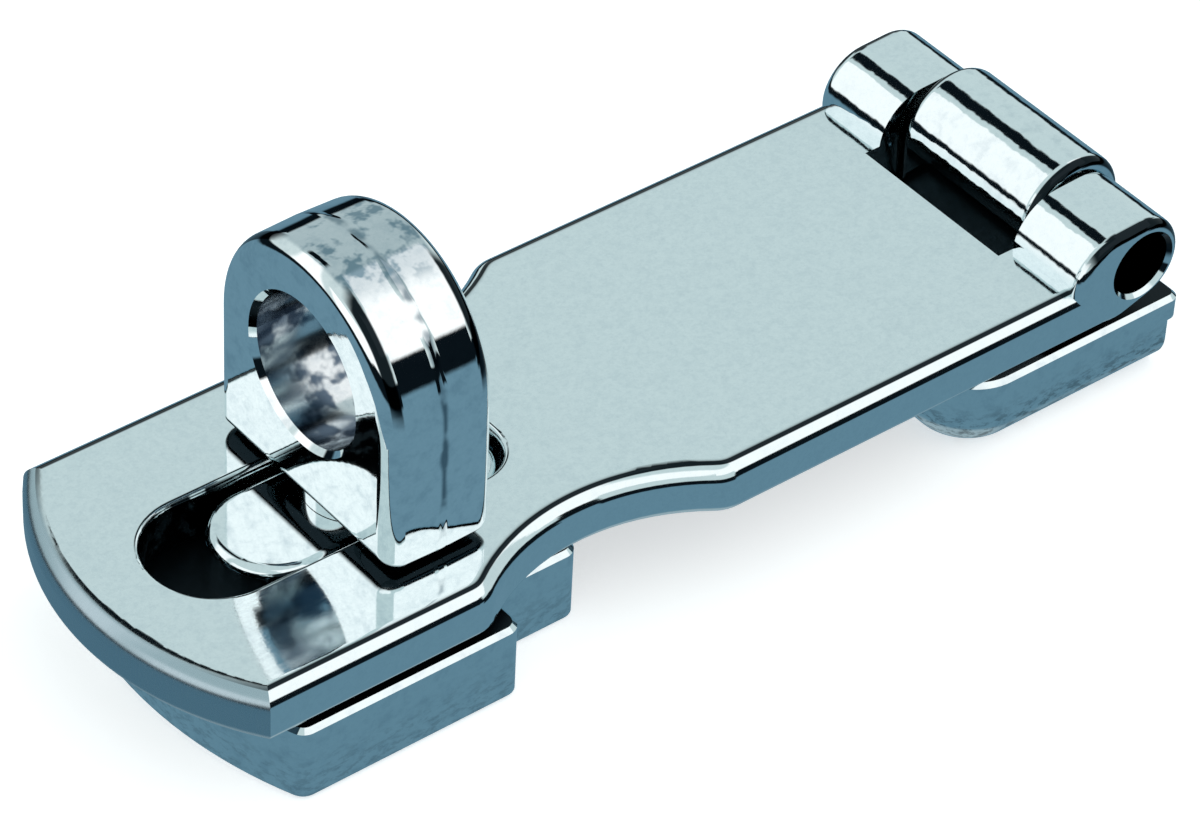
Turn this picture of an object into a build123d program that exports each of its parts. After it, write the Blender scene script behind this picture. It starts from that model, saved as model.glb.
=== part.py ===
from build123d import *
import os
from math import sqrt

# Hasp and staple with a swivel eye, in its locked state: the strap lies closed on the
# staple and the eye is turned crosswise over it.
# Units are millimetres. X runs along the strap towards the hinge, Y across it, Z up.
# Z = 0 is the face that the staple base and the hinge leaf are screwed down on, and the
# origin is the middle of the overall length and width on that face.

# Driving dimensions: strap
strap_width = 28.6
strap_top = 10.7
strap_thick = 3.85
tip_x = -42.7
end_radius = 23.5
end_corner_radius = 1.8
waist_x = -9.8
waist_radius = 16.4
waist_depth = 3.45
waist_blend_radius = 3.0
strap_top_round = 1.5
strap_bottom_round = 0.7
slot_start_x = -37.1
slot_end_x = -10.1
slot_start_round = 4.9
slot_end_round = 3.5
slot_width = 10.0
slot_edge_round = 0.4

# Driving dimensions: hinge
hinge_x = 38.15
hinge_z = 10.9
outer_knuckle_radius = 3.6
centre_knuckle_radius = 4.5
centre_knuckle_length = 14.0
knuckle_gap = 0.3
notch_x = 30.65
fairing_x = 35.9
fairing_z = 10.5
fairing_radius = 3.9
plate_end_x = 36.6
pin_radius = 2.45
pin_recess = 6.5
running_clearance = 0.07
press_clearance = 0.01
knuckle_edge_round = 0.9
web_inset = 0.2
bore_bevel = 0.3

# Driving dimensions: plates that are screwed down
plate_top = 6.2
plate_bevel = 0.35
screw_hole_radius = 2.0
screw_sink_radius = 3.7
foot_bevel = 0.3

# Driving dimensions: hinge leaf
leaf_start_x = 21.8
leaf_end_x = 42.7
leaf_width = 28.4
leaf_corner_radius = 4.5
leaf_lip_bottom = 4.2
leaf_lip_overhang = 1.1
leaf_lip_round = 0.9
leaf_foot_round = 2.5
leaf_screw_x = 26.4
leaf_screw_spacing = 14.4

# Driving dimensions: staple base
base_tip_x = -38.3
base_end_radius = 34.0
base_step_x = -17.1
base_end_x = -9.3
tongue_width = 20.9
base_corner_radius = 1.2
boss_start_x = -31.9
boss_end_x = -10.5
boss_start_round = 4.5
boss_end_round = 3.1
boss_width = 9.2
boss_top = 9.9
boss_edge_round = 0.8
base_screw_x = -27.1
base_screw_spacing_x = 9.0
base_screw_spacing_y = 18.8
recess_radius = 6.6
recess_depth = 4.6

# Driving dimensions: swivel eye and what holds it
eye_x = -20.75
eye_thick = 8.8
eye_radius = 9.85
eye_hole_radius = 5.6
eye_arch_z = 21.8
eye_hole_z = 22.0
eye_foot_gap = 0.35
eye_foot_round = 0.8
eye_draft = 1.5
eye_edge_round = 1.4
eye_hole_bevel = 0.4
collar_radius = 3.6
collar_gap = 0.05
shank_radius = 3.0
shank_end_z = 1.0
groove_z = 2.0
groove_height = 0.84
groove_radius = 2.5
washer_radius = 5.8
washer_thick = 0.8
washer_bore_radius = 3.15
stack_gap = 0.02
spring_thick = 0.5
spring_rise = 0.43
ring_radius = 4.4
ring_thick = 0.8
ring_mouth = 3.4
ring_corner_round = 0.3

# Worked-out sizes
half_width = strap_width / 2
strap_bottom = strap_top - strap_thick
corner_x = tip_x + end_radius - sqrt(end_radius**2 - half_width**2)
base_corner_x = base_tip_x + base_end_radius - sqrt(base_end_radius**2 - half_width**2)
notch_half_width = centre_knuckle_length / 2 + knuckle_gap
eye_foot_z = strap_top + eye_foot_gap
waist_centre_y = half_width - waist_depth + waist_radius
far_away = 100.0
tiny = 0.01

os.makedirs("parts", exist_ok=True)


def save(piece, name):
    """Name a finished piece and write it as its own file."""
    piece.label = name
    export_step(piece, f"parts/{name}.step")


# Strap: a waisted plate with a rounded free end, a long slot for the staple, and two
# knuckles at the hinge with a notch between them.
with BuildPart() as hasp_strap:
    with BuildSketch(Plane.XY.offset(strap_bottom)):
        with BuildLine():
            ThreePointArc((corner_x, -half_width), (tip_x, 0), (corner_x, half_width))
            Polyline(
                (corner_x, half_width),
                (fairing_x, half_width),
                (fairing_x, -half_width),
                (corner_x, -half_width),
            )
        make_face()
        with Locations((waist_x, waist_centre_y), (waist_x, -waist_centre_y)):
            Circle(waist_radius, mode=Mode.SUBTRACT)
        outline = vertices().sort_by(Axis.X)
        free_corners = outline[:2]
        waist_corners = outline[2:6]
        fillet(waist_corners, waist_blend_radius)
        fillet(free_corners, end_corner_radius)
    extrude(amount=strap_thick)
    rim = faces().sort_by(Axis.Z)[-1].edges().sort_by(Axis.X)[:-1]
    fillet(rim, strap_top_round)
    foot = faces().sort_by(Axis.Z)[0].edges().sort_by(Axis.X)[:-1]
    fillet(foot, strap_bottom_round)

    # the two knuckles, faired into the plate
    with BuildSketch(Plane.XZ.offset(-half_width)) as knuckle_profile:
        with Locations((hinge_x, hinge_z)):
            Circle(outer_knuckle_radius)
        with Locations((fairing_x, fairing_z)):
            Circle(fairing_radius)
        with Locations((plate_end_x, strap_bottom)):
            Rectangle(fairing_radius, strap_thick / 2, align=(Align.MAX, Align.MIN))
        make_hull()
    knuckles = extrude(amount=strap_width, mode=Mode.PRIVATE)
    knuckle_ends = knuckles.faces().filter_by(Axis.Y).edges()
    add(knuckles.fillet(knuckle_edge_round, knuckle_ends))

    # notch for the leaf's knuckle, bore for the pin, slot for the staple
    with BuildSketch(Plane.XY):
        with Locations((notch_x, 0)):
            Rectangle(far_away, 2 * notch_half_width, align=(Align.MIN, Align.CENTER))
    extrude(amount=far_away, mode=Mode.SUBTRACT)
    with BuildSketch(Plane.XZ.offset(-half_width)):
        with Locations((hinge_x, hinge_z)):
            Circle(pin_radius + running_clearance)
    extrude(amount=strap_width, mode=Mode.SUBTRACT)
    bore_mouths = edges().filter_by(GeomType.CIRCLE).filter_by(
        lambda edge: abs(edge.radius - pin_radius - running_clearance) < tiny
        and abs(abs(edge.arc_center.Y) - half_width) < tiny
    )
    chamfer(bore_mouths, bore_bevel)
    with BuildSketch(Plane.XY):
        with Locations((slot_start_x, 0)):
            Rectangle(slot_end_x - slot_start_x, slot_width, align=(Align.MIN, Align.CENTER))
        fillet(vertices().group_by(Axis.X)[0], slot_start_round)
        fillet(vertices().group_by(Axis.X)[-1], slot_end_round)
    extrude(amount=far_away, mode=Mode.SUBTRACT)
    slot_rim = [
        edge
        for edge in edges().filter_by_position(Axis.Z, strap_top, strap_top)
        if abs(edge.center().Y) <= slot_width / 2 + slot_edge_round
        and edge.bounding_box().max.X <= slot_end_x + slot_edge_round
    ]
    fillet(slot_rim, slot_edge_round)

save(hasp_strap.part, "hasp_strap")

# Hinge leaf: a short plate with countersunk screw holes and a knuckle on a web.
with BuildPart() as hinge_leaf:
    with BuildSketch(Plane.XY):
        with Locations((leaf_start_x, 0)):
            Rectangle(leaf_end_x - leaf_start_x, leaf_width, align=(Align.MIN, Align.CENTER))
        fillet(vertices().group_by(Axis.X)[0], leaf_corner_radius)
    extrude(amount=plate_top)
    nose_and_sides = faces().sort_by(Axis.Z)[0].edges().sort_by(Axis.X)[:-1]
    fillet(nose_and_sides, leaf_foot_round)

    # the end under the knuckle has a lip along its upper part
    with BuildSketch(Plane.XY):
        with Locations((leaf_end_x - leaf_lip_overhang, 0)):
            Rectangle(far_away, far_away, align=(Align.MIN, Align.CENTER))
    extrude(amount=leaf_lip_bottom, mode=Mode.SUBTRACT)
    lip_corners = edges().filter_by(Axis.Z).group_by(Axis.X)[-1]
    fillet(lip_corners, leaf_lip_round)
    chamfer(faces().sort_by(Axis.Z)[-1].edges(), plate_bevel)

    # knuckle and web
    with BuildSketch(Plane.XZ.offset(-centre_knuckle_length / 2)):
        with Locations((hinge_x, hinge_z)):
            Circle(centre_knuckle_radius)
        with Locations((hinge_x, plate_top)):
            Rectangle(2 * (centre_knuckle_radius - web_inset), plate_bevel)
        make_hull()
    knuckle = extrude(amount=centre_knuckle_length, mode=Mode.PRIVATE)
    knuckle_ends = knuckle.faces().filter_by(Axis.Y).edges()
    add(knuckle.fillet(knuckle_edge_round, knuckle_ends))
    with BuildSketch(Plane.XZ.offset(-half_width)):
        with Locations((hinge_x, hinge_z)):
            Circle(pin_radius + press_clearance)
    extrude(amount=strap_width, mode=Mode.SUBTRACT)

    # screw holes
    with Locations((leaf_screw_x, 0, plate_top)):
        with GridLocations(1, leaf_screw_spacing, 1, 2):
            CounterSinkHole(screw_hole_radius, screw_sink_radius)

save(hinge_leaf.part, "hinge_leaf")

# Hinge pin: pressed in the leaf's knuckle and short of both ends of the barrel.
with BuildPart() as hinge_pin:
    with BuildSketch(Plane.XZ.offset(-half_width + pin_recess)):
        with Locations((hinge_x, hinge_z)):
            Circle(pin_radius)
    extrude(amount=strap_width - 2 * pin_recess)
    chamfer(edges().filter_by(GeomType.CIRCLE), foot_bevel)

save(hinge_pin.part, "hinge_pin")

# Staple base: a plate under the strap's free end, with an oblong boss that stands in the
# slot, a bore for the eye's shank and a recess below for its fixings.
with BuildPart() as staple_base:
    with BuildSketch(Plane.XY):
        with BuildLine():
            ThreePointArc((base_corner_x, -half_width), (base_tip_x, 0), (base_corner_x, half_width))
            Polyline(
                (base_corner_x, half_width),
                (base_step_x, half_width),
                (base_step_x, tongue_width / 2),
                (base_end_x, tongue_width / 2),
                (base_end_x, -tongue_width / 2),
                (base_step_x, -tongue_width / 2),
                (base_step_x, -half_width),
                (base_corner_x, -half_width),
            )
        make_face()
        fillet(vertices(), base_corner_radius)
    extrude(amount=plate_top)
    chamfer(faces().sort_by(Axis.Z)[-1].edges(), plate_bevel)
    chamfer(faces().sort_by(Axis.Z)[0].edges(), foot_bevel)
    with BuildSketch(Plane.XY.offset(recess_depth)):
        with Locations((boss_start_x, 0)):
            Rectangle(boss_end_x - boss_start_x, boss_width, align=(Align.MIN, Align.CENTER))
        fillet(vertices().group_by(Axis.X)[0], boss_start_round)
        fillet(vertices().group_by(Axis.X)[-1], boss_end_round)
    extrude(amount=boss_top - recess_depth)
    fillet(faces().sort_by(Axis.Z)[-1].edges(), boss_edge_round)
    with Locations((base_screw_x, 0, plate_top)):
        with GridLocations(base_screw_spacing_x, base_screw_spacing_y, 2, 2):
            CounterSinkHole(screw_hole_radius, screw_sink_radius)
    with Locations((eye_x, 0, boss_top)):
        Hole(shank_radius + running_clearance)
    with BuildSketch(Plane.XY):
        with Locations((eye_x, 0)):
            Circle(recess_radius)
    extrude(amount=recess_depth, mode=Mode.SUBTRACT)

save(staple_base.part, "staple_base")

# Swivel eye: a cast eye with draft to both sides of its middle plane, on a round shank.
with BuildPart() as swivel_eye:
    with BuildSketch(Plane.YZ.offset(eye_x)):
        with Locations((0, eye_foot_z)):
            Rectangle(2 * eye_radius, eye_arch_z - eye_foot_z, align=(Align.CENTER, Align.MIN))
        with Locations((0, eye_arch_z)):
            Circle(eye_radius)
        fillet(vertices().group_by(Axis.Z)[0], eye_foot_round)
    extrude(amount=eye_thick / 2, both=True, taper=eye_draft)
    rims = faces().filter_by(Axis.X).edges()
    foot_rims = rims.filter_by(lambda edge: edge.center().Z < eye_foot_z + eye_foot_round)
    fillet(rims - foot_rims, eye_edge_round)
    with BuildSketch(Plane.YZ.offset(eye_x - eye_thick / 2)):
        with Locations((0, eye_hole_z)):
            Circle(eye_hole_radius)
    extrude(amount=eye_thick, mode=Mode.SUBTRACT)
    hole_rim = edges().filter_by(GeomType.CIRCLE).filter_by(
        lambda edge: abs(edge.radius - eye_hole_radius) < tiny
    )
    chamfer(hole_rim, eye_hole_bevel)
    with BuildSketch(Plane.XY.offset(boss_top + collar_gap)):
        with Locations((eye_x, 0)):
            Circle(collar_radius)
    extrude(until=Until.NEXT)
    with BuildSketch(Plane.XY.offset(shank_end_z)):
        with Locations((eye_x, 0)):
            Circle(shank_radius)
    extrude(amount=boss_top + collar_gap - shank_end_z)
    with BuildSketch(Plane.XY.offset(groove_z)):
        with Locations((eye_x, 0)):
            Circle(collar_radius)
            Circle(groove_radius, mode=Mode.SUBTRACT)
    extrude(amount=groove_height, mode=Mode.SUBTRACT)
    chamfer(edges().group_by(Axis.Z)[0], foot_bevel)

save(swivel_eye.part, "swivel_eye")

# Fixings under the base, from the recess roof down: a cone-shaped spring washer that
# gives the eye its friction, a flat washer, and an open ring in the shank's groove.
spring_top = recess_depth - stack_gap
spring_bottom = spring_top - spring_thick - spring_rise
with BuildPart() as spring_washer:
    with BuildSketch(Plane.XZ):
        with BuildLine():
            Polyline(
                (eye_x + washer_bore_radius, spring_bottom),
                (eye_x + washer_radius, spring_bottom + spring_rise),
                (eye_x + washer_radius, spring_top),
                (eye_x + washer_bore_radius, spring_top - spring_rise),
                close=True,
            )
        make_face()
    revolve(axis=Axis((eye_x, 0, 0), (0, 0, 1)))

save(spring_washer.part, "spring_washer")

washer_top = spring_bottom - stack_gap
with BuildPart() as flat_washer:
    with BuildSketch(Plane.XY.offset(washer_top - washer_thick)):
        with Locations((eye_x, 0)):
            Circle(washer_radius)
            Circle(washer_bore_radius, mode=Mode.SUBTRACT)
    extrude(amount=washer_thick)

save(flat_washer.part, "flat_washer")

with BuildPart() as retaining_ring:
    with BuildSketch(Plane.XY.offset(groove_z + stack_gap)):
        with Locations((eye_x, 0)):
            Circle(ring_radius)
            Circle(groove_radius + stack_gap, mode=Mode.SUBTRACT)
            Rectangle(far_away, ring_mouth, align=(Align.MAX, Align.CENTER), mode=Mode.SUBTRACT)
        fillet(vertices(), ring_corner_round)
    extrude(amount=ring_thick)

save(retaining_ring.part, "retaining_ring")
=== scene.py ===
import math

import bpy
from mathutils import Matrix, Vector


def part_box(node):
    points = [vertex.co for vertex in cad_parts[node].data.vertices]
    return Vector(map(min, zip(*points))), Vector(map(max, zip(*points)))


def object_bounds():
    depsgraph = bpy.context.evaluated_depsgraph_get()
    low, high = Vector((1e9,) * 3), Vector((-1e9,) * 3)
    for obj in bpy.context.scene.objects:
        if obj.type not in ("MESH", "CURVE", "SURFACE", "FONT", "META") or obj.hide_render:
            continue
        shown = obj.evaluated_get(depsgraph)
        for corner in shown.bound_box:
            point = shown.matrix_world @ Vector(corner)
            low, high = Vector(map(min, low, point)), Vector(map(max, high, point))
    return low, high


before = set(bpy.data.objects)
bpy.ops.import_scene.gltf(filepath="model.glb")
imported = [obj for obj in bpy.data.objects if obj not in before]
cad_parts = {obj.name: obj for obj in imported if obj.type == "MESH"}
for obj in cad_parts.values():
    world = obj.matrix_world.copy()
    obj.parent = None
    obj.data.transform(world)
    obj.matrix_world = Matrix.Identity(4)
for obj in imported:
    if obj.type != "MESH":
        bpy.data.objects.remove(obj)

MM = 0.001
cad_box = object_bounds()

# Places that the materials need, in metres: first those that the frame gives
low, high = cad_box
length = high.x - low.x
leaf_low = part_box("hinge_leaf")[0]
eye_low, eye_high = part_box("swivel_eye")
pin_low, pin_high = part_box("hinge_pin")
eye_middle = (eye_low + eye_high) / 2
pin_middle = (pin_low + pin_high) / 2
pin_radius = (pin_high.z - pin_low.z) / 2

# and then dimensions of the part that no box gives
hole_z = 22.0 * MM
hole_radius = 5.6 * MM
strap_top = 10.7 * MM
plate_top = 6.2 * MM
slot_start = -37.1 * MM
slot_half_width = 5.0 * MM
end_edge_start = -34.0 * MM
notch_start = 30.65 * MM

# Metal colours, linear
CHROME = (0.80, 0.885, 0.90)
CHROME_BRIGHT = (0.93, 0.975, 0.98)
# painted shade tones: a grey for the strap's underside, near-black for shade and dark
# reflection lines, and a grey for the free end and the leaf's top
UNDERSIDE_SHADE = (0.17, 0.20, 0.22)
SHADE_BLACK = (0.012, 0.018, 0.022)
SHADE_GREY = (0.42, 0.53, 0.58)
BLOTCH_GREY = (0.42, 0.52, 0.58)
SPECK_GREY = (0.62, 0.72, 0.75)
GRAIN_GREY = (0.50, 0.60, 0.66)
BLOOM_BLUE = (0.16, 0.26, 0.32)
SEAM_DARK = (0.10, 0.16, 0.20)
HOLE_DARK = (0.06, 0.10, 0.15)
STEEL = (0.56, 0.57, 0.58)
BRASS = (0.78, 0.60, 0.30)

# Stage colours, linear
FLOOR_GREY = (0.86, 0.87, 0.87)
PANEL = (0.64, 0.74, 0.75)
WHITE = (1.15, 1.15, 1.15)
INK = (0.003, 0.006, 0.009)
SLATE = (0.135, 0.255, 0.335)
PALE_SLATE = (0.35, 0.45, 0.5)


class Graph:
    """A node tree and the few kinds of node that the materials and the studio are made of."""

    def __init__(self, tree):
        self.nodes = tree.nodes
        self.links = tree.links

    def put(self, value, socket):
        """Links another node's output to the socket, or sets the socket to a constant."""
        if isinstance(value, bpy.types.NodeSocket):
            self.links.new(value, socket)
        elif isinstance(value, tuple) and len(socket.default_value) == 4:
            socket.default_value = (*value, 1)
        else:
            socket.default_value = value

    def math(self, operation, first, second=0.0):
        node = self.nodes.new("ShaderNodeMath")
        node.operation = operation
        self.put(first, node.inputs[0])
        self.put(second, node.inputs[1])
        return node.outputs[0]

    def size(self, value):
        """The value without its sign."""
        return self.math("ABSOLUTE", value)

    def distance(self, across, up):
        """How far a point is from an axis, from its two distances at right angles."""
        squares = [self.math("MULTIPLY", side, side) for side in (across, up)]
        return self.math("SQRT", self.math("ADD", *squares))

    def fade(self, value, start, end, first=0.0, last=1.0):
        """Goes smoothly from first to last as the value goes from start to end."""
        node = self.nodes.new("ShaderNodeMapRange")
        node.interpolation_type = "SMOOTHSTEP"
        for socket, number in zip(node.inputs, (value, start, end, first, last)):
            self.put(number, socket)
        return node.outputs[0]

    def inside(self, value, start, end, soft):
        """1 between start and end, 0 outside, with soft edges."""
        above = self.fade(value, start - soft, start + soft)
        below = self.fade(value, end + soft, end - soft)
        return self.math("MULTIPLY", above, below)

    def every(self, *masks):
        """1 where all the masks are 1."""
        product = masks[0]
        for mask in masks[1:]:
            product = self.math("MULTIPLY", product, mask)
        return product

    def any(self, *masks):
        """1 where at least one of the masks is 1."""
        most = masks[0]
        for mask in masks[1:]:
            most = self.math("MAXIMUM", most, mask)
        return most

    def blend(self, factor, first, second):
        """A colour between two."""
        node = self.nodes.new("ShaderNodeMix")
        node.data_type = "RGBA"
        self.put(factor, node.inputs[0])
        self.put(first, node.inputs[6])
        self.put(second, node.inputs[7])
        return node.outputs[2]

    def split(self, vector):
        node = self.nodes.new("ShaderNodeSeparateXYZ")
        self.links.new(vector, node.inputs[0])
        return node.outputs

    def stretch(self, vector, factors):
        node = self.nodes.new("ShaderNodeVectorMath")
        node.operation = "MULTIPLY"
        self.put(vector, node.inputs[0])
        node.inputs[1].default_value = factors
        return node.outputs[0]

    def noise(self, vector, scale, detail=3.0, roughness=0.55):
        node = self.nodes.new("ShaderNodeTexNoise")
        self.put(vector, node.inputs["Vector"])
        self.put(scale, node.inputs["Scale"])
        self.put(detail, node.inputs["Detail"])
        self.put(roughness, node.inputs["Roughness"])
        return node.outputs[0]

    def bump(self, height, depth_mm, before=None):
        node = self.nodes.new("ShaderNodeBump")
        node.inputs["Distance"].default_value = depth_mm * MM
        self.put(height, node.inputs["Height"])
        if before is not None:
            self.put(before, node.inputs["Normal"])
        return node.outputs[0]


class Metal(Graph):
    """A metal material, with the point and the normal on the piece to place its detail by.

    x, y and z are in metres, and point is the same place in millimetres.
    """

    def __init__(self, name, tint):
        self.material = bpy.data.materials.new(name)
        self.material.use_nodes = True
        super().__init__(self.material.node_tree)
        self.shader = self.nodes["Principled BSDF"]
        self.shader.inputs["Metallic"].default_value = 1.0
        where = self.nodes.new("ShaderNodeTexCoord")
        self.point = self.stretch(where.outputs["Object"], (1 / MM,) * 3)
        self.x, self.y, self.z = self.split(where.outputs["Object"])
        self.nx, self.ny, self.nz = self.split(where.outputs["Normal"])
        self.colour = tint
        self.normal = None

    def tone(self, mask, colour):
        """Lays another colour over the metal where the mask is 1."""
        self.colour = self.blend(mask, self.colour, colour)

    def paint_shade(self, mask):
        """Paints near-black shade where little light gets in, and painted dark reflection
        lines.
        """
        self.tone(mask, SHADE_BLACK)

    def relief(self, height, depth_mm):
        """Adds bump to what is there already."""
        self.normal = self.bump(height, depth_mm, self.normal)

    def done(self, roughness):
        self.put(self.colour, self.shader.inputs["Base Color"])
        self.put(roughness, self.shader.inputs["Roughness"])
        if self.normal is not None:
            self.put(self.normal, self.shader.inputs["Normal"])
        return self.material


def plated(name, ripple_mm, mottle, tint=CHROME):
    """Chrome plate on a polished casting: slow ripple, fine pits and a mottled tone.

    What stands above the strap's top has a shorter ripple as well, ripple_mm deep.
    """
    metal = Metal(name, tint)
    blotch = metal.noise(metal.point, scale=0.9, detail=4.0, roughness=0.6)
    metal.tone(metal.fade(blotch, 0.45, 0.75, last=mottle), BLOTCH_GREY)
    speck = metal.noise(metal.point, scale=3.4, detail=2.0)
    metal.tone(metal.fade(speck, 0.35, 0.7, last=0.16), SPECK_GREY)
    metal.relief(metal.noise(metal.point, scale=0.16, detail=1.0), depth_mm=0.004)
    metal.relief(metal.noise(metal.point, scale=2.6, detail=2.0), depth_mm=0.001)
    above_strap = metal.fade(metal.z, strap_top + 0.2 * MM, strap_top + 0.8 * MM)
    ripple = metal.noise(metal.point, scale=0.45, detail=2.0)
    metal.relief(metal.every(ripple, above_strap), ripple_mm)
    return metal


def bore_mask(metal):
    """1 on the wall of the pin's bore, 0 on the knuckles' ends and on the bore's bevel."""
    across = metal.math("SUBTRACT", metal.x, pin_middle.x)
    up = metal.math("SUBTRACT", metal.z, pin_middle.z)
    from_axis = metal.distance(across, up)
    near_pin = metal.fade(from_axis, pin_radius + 0.2 * MM, pin_radius + 0.12 * MM)
    return metal.every(near_pin, metal.fade(metal.size(metal.ny), 0.5, 0.2))


def knuckle_rim(metal):
    """1 on the rounded ends of the hinge's knuckles."""
    return metal.every(
        metal.inside(metal.size(metal.ny), 0.3, 0.9, soft=0.04),
        metal.fade(metal.x, pin_low.x - 3 * MM, pin_low.x - 2 * MM),
        metal.fade(metal.z, strap_top - 0.5 * MM, strap_top + 0.2 * MM),
    )


def slot_wall_mask(metal):
    """1 on the part of the slot's wall that is in front of the eye, with ragged gaps: where the
    slot's shade is painted.
    """
    broken = metal.fade(metal.noise(metal.point, scale=0.7, detail=2.0), 0.62, 0.5)
    wall_edge = slot_half_width + 0.3 * MM
    wall_start = slot_start - 0.5 * MM
    return metal.every(
        metal.fade(metal.size(metal.y), wall_edge + 0.3 * MM, wall_edge),
        metal.fade(metal.x, wall_start - 0.3 * MM, wall_start),
        metal.fade(metal.x, eye_low.x, eye_low.x - 4 * MM),
        metal.fade(metal.nz, 0.9, 0.6),
        broken,
    )


def painted_edge_line_mask(metal):
    """1 on a thin line along the long edges, where the flat top starts to roll over: a painted
    dark reflection line.
    """
    never_zero = 0.001
    sideways = metal.size(metal.ny)
    level = metal.math("ADD", sideways, metal.size(metal.nx))
    share = metal.math("DIVIDE", sideways, metal.math("ADD", level, never_zero))
    rolled = metal.inside(metal.nz, 0.915, 0.988, soft=0.01)
    return metal.every(rolled, metal.fade(share, 0.25, 0.5))


def strap_metal():
    """The strap: a finely grained flat top, a satin free end with painted grey shade, a rougher
    underside with painted shade, and painted dark lines.
    """
    metal = plated("chrome_strap", ripple_mm=0.05, mottle=0.10)
    free_end = metal.every(
        metal.fade(metal.nx, -0.12, -0.4),
        metal.fade(metal.x, end_edge_start, end_edge_start - 2 * MM),
    )
    # painted shade: the free end's rounded edge is toned grey, so that it reflects grey instead
    # of white
    metal.tone(free_end, SHADE_GREY)
    # a painted dark reflection line along the long edges
    metal.paint_shade(painted_edge_line_mask(metal))
    # painted shade in the slot's wall, in the pin's bore and on the knuckles' rounded ends
    metal.paint_shade(metal.any(slot_wall_mask(metal), bore_mask(metal), knuckle_rim(metal)))
    # painted shade on the underside, which is also rougher
    under = metal.fade(metal.nz, -0.6, -0.9)
    metal.tone(under, UNDERSIDE_SHADE)
    # fine grain and lengthways polishing lines
    flat = metal.fade(metal.nz, 0.985, 0.998)
    grain = metal.noise(metal.point, scale=2.2, detail=4.0, roughness=0.7)
    metal.tone(metal.every(flat, metal.fade(grain, 0.4, 0.7, last=0.22)), GRAIN_GREY)
    lengthways = metal.stretch(metal.point, (0.25, 6.0, 1.0))
    lines = metal.noise(lengthways, scale=1.0, detail=2.0)
    polished = metal.fade(lines, 0.3, 0.7, first=0.045, last=0.085)
    rough_under = metal.every(under, 0.35)
    rough_end = metal.every(free_end, 0.2)
    return metal.done(metal.math("ADD", metal.math("ADD", polished, rough_under), rough_end))


def plate_metal(name, foot_shade):
    """Base and leaf: bright sides and boss, a rougher top under the strap with painted shade,
    and painted shade darker towards the foot.
    """
    metal = plated(name, ripple_mm=0.05, mottle=0.35)
    top = metal.every(
        metal.inside(metal.z, plate_top - 0.1 * MM, plate_top + 0.1 * MM, soft=0.05 * MM),
        metal.fade(metal.nz, 0.9, 0.97),
    )
    # painted shade on the top under the strap, in the pin's bore and on the knuckles' rounded
    # ends
    metal.paint_shade(metal.any(top, bore_mask(metal), knuckle_rim(metal)))
    # the leaf's top shows when the strap is open, so up to the strap's notch its painted shade
    # is a lighter grey
    shown = metal.inside(metal.x, leaf_low.x - MM, notch_start - MM, soft=0.5 * MM)
    metal.tone(metal.every(top, shown), SHADE_GREY)
    # painted shade, darker towards the foot, in streaks along the plate
    along = metal.stretch(metal.point, (0.6, 0.6, 1.4))
    streaks = metal.noise(along, scale=1.4, detail=4.0, roughness=0.7)
    foot = metal.fade(metal.z, 4.6 * MM, 1.5 * MM)
    metal.paint_shade(metal.every(foot, metal.fade(streaks, 0.45, 0.62), foot_shade))
    rough_top = metal.math("MULTIPLY", top, 0.4)
    return metal.done(metal.math("ADD", rough_top, 0.06))


def eye_metal():
    """The eye: mirror-bright, with a parting seam, a bloomed top and an uneven hole."""
    metal = plated("chrome_eye", ripple_mm=0.006, mottle=0.35, tint=CHROME_BRIGHT)
    from_axis = metal.distance(metal.y, metal.math("SUBTRACT", metal.z, hole_z))
    in_hole = metal.every(
        metal.fade(from_axis, hole_radius + 0.15 * MM, hole_radius + 0.05 * MM),
        metal.fade(metal.size(metal.nx), 0.6, 0.3),
    )
    outside = metal.fade(from_axis, hole_radius + 1.0 * MM, hole_radius + 1.6 * MM)
    # the hole's wall: dark, uneven patches
    patches = metal.noise(metal.point, scale=0.33, detail=3.0, roughness=0.6)
    uneven = metal.fade(patches, 0.44, 0.56, first=0.2, last=0.95)
    metal.tone(metal.every(in_hole, uneven), HOLE_DARK)
    # the parting seam: a soft, broken dark line and a low ridge round the middle of the casting
    aside = metal.size(metal.math("SUBTRACT", metal.x, eye_middle.x))
    wander = metal.noise(metal.point, scale=0.35, detail=1.0)
    waver = metal.fade(wander, 0.3, 0.7, first=-0.12 * MM, last=0.12 * MM)
    seam = metal.fade(metal.math("ADD", aside, waver), 0.45 * MM, 0.1 * MM)
    ragged = metal.fade(metal.noise(metal.point, scale=0.45, detail=2.0), 0.38, 0.58)
    seam_shade = 0.8
    metal.tone(metal.every(seam, ragged, outside, seam_shade), SEAM_DARK)
    metal.relief(metal.every(seam, outside), depth_mm=0.04)
    # grey-blue bloom with darker spots along the top of the arch
    bloom = metal.noise(metal.point, scale=0.5, detail=3.0, roughness=0.65)
    spots = metal.fade(bloom, 0.5, 0.64, first=0.45, last=0.95)
    metal.tone(metal.every(metal.fade(metal.nz, 0.84, 0.94), spots, outside), BLOOM_BLUE)
    # a painted dark reflection line round the rims, between the arch and the bright part of the
    # bevel
    rim = metal.every(
        metal.inside(metal.size(metal.nx), 0.14, 0.62, soft=0.03),
        metal.fade(metal.size(metal.ny), 0.28, 0.42),
        metal.fade(metal.nz, 0.12, 0.3),
        outside,
    )
    metal.paint_shade(rim)
    # painted shade where the foot's underside faces the strap
    metal.paint_shade(metal.every(metal.fade(metal.nz, -0.2, -0.5), outside))
    rough_hole = metal.every(in_hole, 0.12)
    return metal.done(metal.math("ADD", rough_hole, 0.035))


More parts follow.
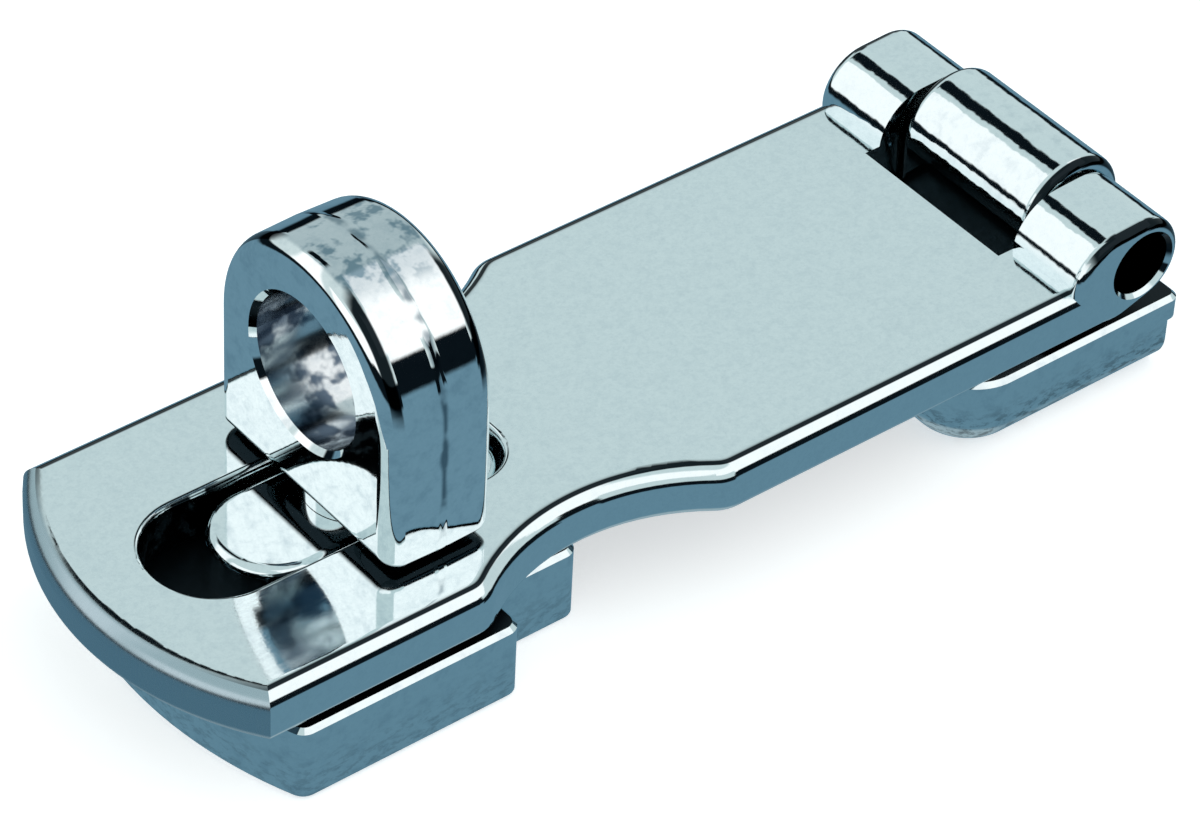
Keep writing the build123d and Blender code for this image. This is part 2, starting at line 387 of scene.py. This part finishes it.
def turned(name, tint, roughness):
    """Plain drawn or turned metal with fine lines."""
    metal = Metal(name, tint)
    grain = metal.noise(metal.stretch(metal.point, (4.0, 1.0, 4.0)), scale=1.0)
    dark = tuple(channel * 0.75 for channel in tint)
    metal.tone(metal.fade(grain, 0.35, 0.7, last=0.6), dark)
    metal.relief(grain, depth_mm=0.004)
    return metal.done(metal.fade(grain, 0.3, 0.7, roughness * 0.7, roughness * 1.3))


def paint(node, material):
    """Gives a CAD node one material in all its slots."""
    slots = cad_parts[node].data.materials
    slots.clear()
    slots.append(material)


paint("hasp_strap", strap_metal())
paint("hinge_leaf", plate_metal("chrome_leaf", foot_shade=0.6))
paint("staple_base", plate_metal("chrome_base", foot_shade=0.22))
paint("swivel_eye", eye_metal())
paint("hinge_pin", turned("pin_steel", STEEL, roughness=0.3))
paint("spring_washer", turned("spring_steel", STEEL, roughness=0.35))
paint("retaining_ring", turned("ring_steel", STEEL, roughness=0.35))
paint("flat_washer", turned("washer_brass", BRASS, roughness=0.35))

# Stage: a pale floor, and a studio all round that the polished metal reflects
FLOOR_REACH = length * 30
FLOOR_GAP = 0.02 * MM
FLOOR_GLOW = 0.55


def make_floor():
    """A plain floor that the metal doesn't reflect: the studio's lower half does that."""
    reach = FLOOR_REACH
    mesh = bpy.data.meshes.new("floor")
    corners = [(-reach, -reach, 0), (reach, -reach, 0), (reach, reach, 0), (-reach, reach, 0)]
    mesh.from_pydata(corners, [], [(0, 1, 2, 3)])
    floor = bpy.data.objects.new("floor", mesh)
    bpy.context.scene.collection.objects.link(floor)
    floor.location.z = low.z - FLOOR_GAP
    material = bpy.data.materials.new("floor_paint")
    material.use_nodes = True
    shader = material.node_tree.nodes["Principled BSDF"]
    shader.inputs["Base Color"].default_value = (*FLOOR_GREY, 1)
    shader.inputs["Roughness"].default_value = 0.9
    shader.inputs["Specular IOR Level"].default_value = 0.0
    shader.inputs["Emission Color"].default_value = (1, 1, 1, 1)
    shader.inputs["Emission Strength"].default_value = FLOOR_GLOW
    mesh.materials.append(material)
    floor.visible_glossy = False


def make_studio():
    """The world that the chrome reflects: a pale sky with a few white and black cards in it, a
    thin black line at the horizon, slate below that, and a lighter patch straight down."""
    world = bpy.data.worlds.new("studio")
    bpy.context.scene.world = world
    world.use_nodes = True
    studio = Graph(world.node_tree)
    where = studio.nodes.new("ShaderNodeTexCoord")
    direction = where.outputs["Generated"]
    x, y, z = studio.split(direction)
    uneven = studio.noise(direction, scale=6.0, detail=3.0)
    waver = 0.16
    ripple = studio.math("MULTIPLY", studio.math("SUBTRACT", uneven, 0.5), waver)
    wavy_x = studio.math("ADD", x, ripple)
    # more than any part of a direction, for a card that runs on to the end
    full = 1.1

    def card(along, across, up):
        """1 in the part of the sky where x, y and z are in these ranges."""
        return studio.every(
            studio.inside(wavy_x, *along, soft=0.02),
            studio.inside(y, *across, soft=0.04),
            studio.inside(z, *up, soft=0.03),
        )

    side_light = card(along=(0.36, 0.75), across=(-full, 0.22), up=(0.38, full))
    waist_light = card(along=(-0.3, 0.38), across=(-0.85, -0.2), up=(0.56, 0.9))
    hinge_light = card(along=(-full, -0.22), across=(0.44, 0.75), up=(0.05, full))
    end_light = card(along=(-full, -0.6), across=(-0.6, 0.3), up=(0.08, 0.55))
    lights = studio.any(side_light, waist_light, hinge_light, end_light)
    colour = studio.blend(lights, PANEL, WHITE)
    hinge_flag = card(along=(-0.08, 0.24), across=(0.42, 0.74), up=(0.7, 0.92))
    side_flag = card(along=(0.34, 0.62), across=(-full, -0.45), up=(-0.2, 0.42))
    # the black line at the horizon is taller on the near side
    line_height = studio.fade(y, -0.2, -0.5, first=0.07, last=0.2)
    horizon = studio.fade(studio.math("SUBTRACT", z, line_height), 0.03, -0.03)
    colour = studio.blend(studio.any(hinge_flag, side_flag, horizon), colour, INK)
    # the slate comes up higher under the side flag, so that less black shows there
    below_flag = studio.fade(z, 0.03, -0.05)
    below_horizon = studio.fade(z, -0.10, -0.18)
    ground = studio.any(below_horizon, studio.every(below_flag, side_flag))
    colour = studio.blend(ground, colour, SLATE)
    straight_down = studio.fade(z, -0.78, -0.92)
    colour = studio.blend(straight_down, colour, PALE_SLATE)
    background = studio.nodes["Background"]
    studio.put(colour, background.inputs["Color"])
    background.inputs["Strength"].default_value = 1.0


# Camera: an orbit round the object's middle, rolled a little as the hand-held view is
CAMERA_AZIMUTH = math.radians(-39.72)
CAMERA_ELEVATION = math.radians(40.08)
CAMERA_ROLL = math.radians(2.71)
CAMERA_DISTANCE = 370.3 * MM
CAMERA_TARGET = Vector((-2.9, 0.0, 10.7)) * MM
CAMERA_LENS_MM = 161.5
CAMERA_SENSOR_MM = 36.0
CAMERA_SHIFT_X = 0.0307
CAMERA_SHIFT_Y = -0.0263
CAMERA_NEAR = 0.01
CAMERA_FAR = 20.0


def make_camera():
    level_right = Vector((math.cos(CAMERA_AZIMUTH), math.sin(CAMERA_AZIMUTH), 0))
    back = Vector(
        (
            math.sin(CAMERA_AZIMUTH) * math.cos(CAMERA_ELEVATION),
            -math.cos(CAMERA_AZIMUTH) * math.cos(CAMERA_ELEVATION),
            math.sin(CAMERA_ELEVATION),
        )
    )
    level_up = back.cross(level_right)
    turn_c, turn_s = math.cos(CAMERA_ROLL), math.sin(CAMERA_ROLL)
    right = level_right * turn_c + level_up * turn_s
    up = level_up * turn_c - level_right * turn_s
    data = bpy.data.cameras.new("camera")
    data.sensor_width = CAMERA_SENSOR_MM
    data.lens = CAMERA_LENS_MM
    data.shift_x = CAMERA_SHIFT_X
    data.shift_y = CAMERA_SHIFT_Y
    data.clip_start = CAMERA_NEAR
    data.clip_end = CAMERA_FAR
    camera = bpy.data.objects.new("camera", data)
    bpy.context.scene.collection.objects.link(camera)
    axes = Matrix((right, up, back)).transposed().to_4x4()
    camera.matrix_world = Matrix.Translation(CAMERA_TARGET + back * CAMERA_DISTANCE) @ axes
    bpy.context.scene.camera = camera


make_floor()
make_studio()
make_camera()
bpy.context.scene.view_settings.view_transform = "Standard"
